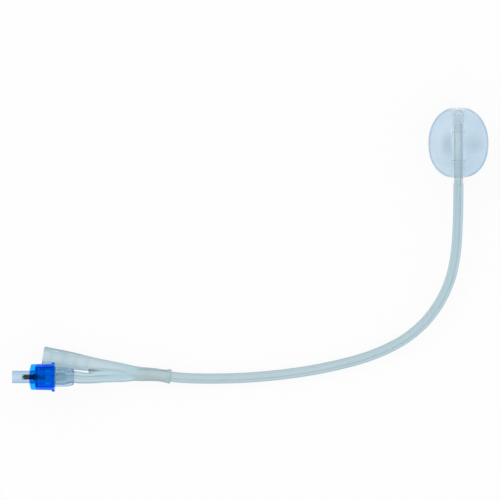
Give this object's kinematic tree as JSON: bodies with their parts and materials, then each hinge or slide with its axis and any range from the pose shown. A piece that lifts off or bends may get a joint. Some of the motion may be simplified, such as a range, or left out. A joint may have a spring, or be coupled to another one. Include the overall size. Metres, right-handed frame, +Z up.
{
  "type": "foley urinary catheter",
  "caption": "Two-way silicone urinary catheter with an inflated retention balloon, a drainage funnel and a spring-loaded luer inflation valve with a blue size cap.",
  "frame": {"origin": "centre of the object's footprint, on the surface it lies on", "axes": "+X along the catheter's length as it lies, from the inflation valve towards the balloon; +Y from the shaft's stretch on the table towards the balloon's tip; +Z up"},
  "size_m": [0.3145, 0.1875, 0.039],
  "materials": {
    "silicone": "satin translucent silicone",
    "membrane": "smooth see-through silicone membrane",
    "clear_plastic": "clear moulded",
    "cap_plastic": "see-through blue moulded",
    "pin_plastic": "moulded",
    "stopper_rubber": "matte",
    "spring_steel": "drawn wire"
  },
  "bodies": {
    "catheter": {"shaft": "silicone", "tip": "silicone", "balloon": "membrane", "y_funnel": "silicone", "valve_inlet": "clear_plastic", "valve_cup": "clear_plastic", "valve_nozzle": "clear_plastic", "colour_cap": "cap_plastic", "valve_spring": "spring_steel"},
    "plunger": {"valve_stem": "pin_plastic", "valve_stopper": "stopper_rubber"}
  },
  "joints": [
    {"name": "plunger_slide", "type": "slide", "parent": "catheter", "child": "plunger", "axis": [1, 0, 0], "range_m": [0, 0.002], "stiffness_N_per_m": 300, "springref_m": -0.002, "deforming": ["valve_spring"]}
  ]
}
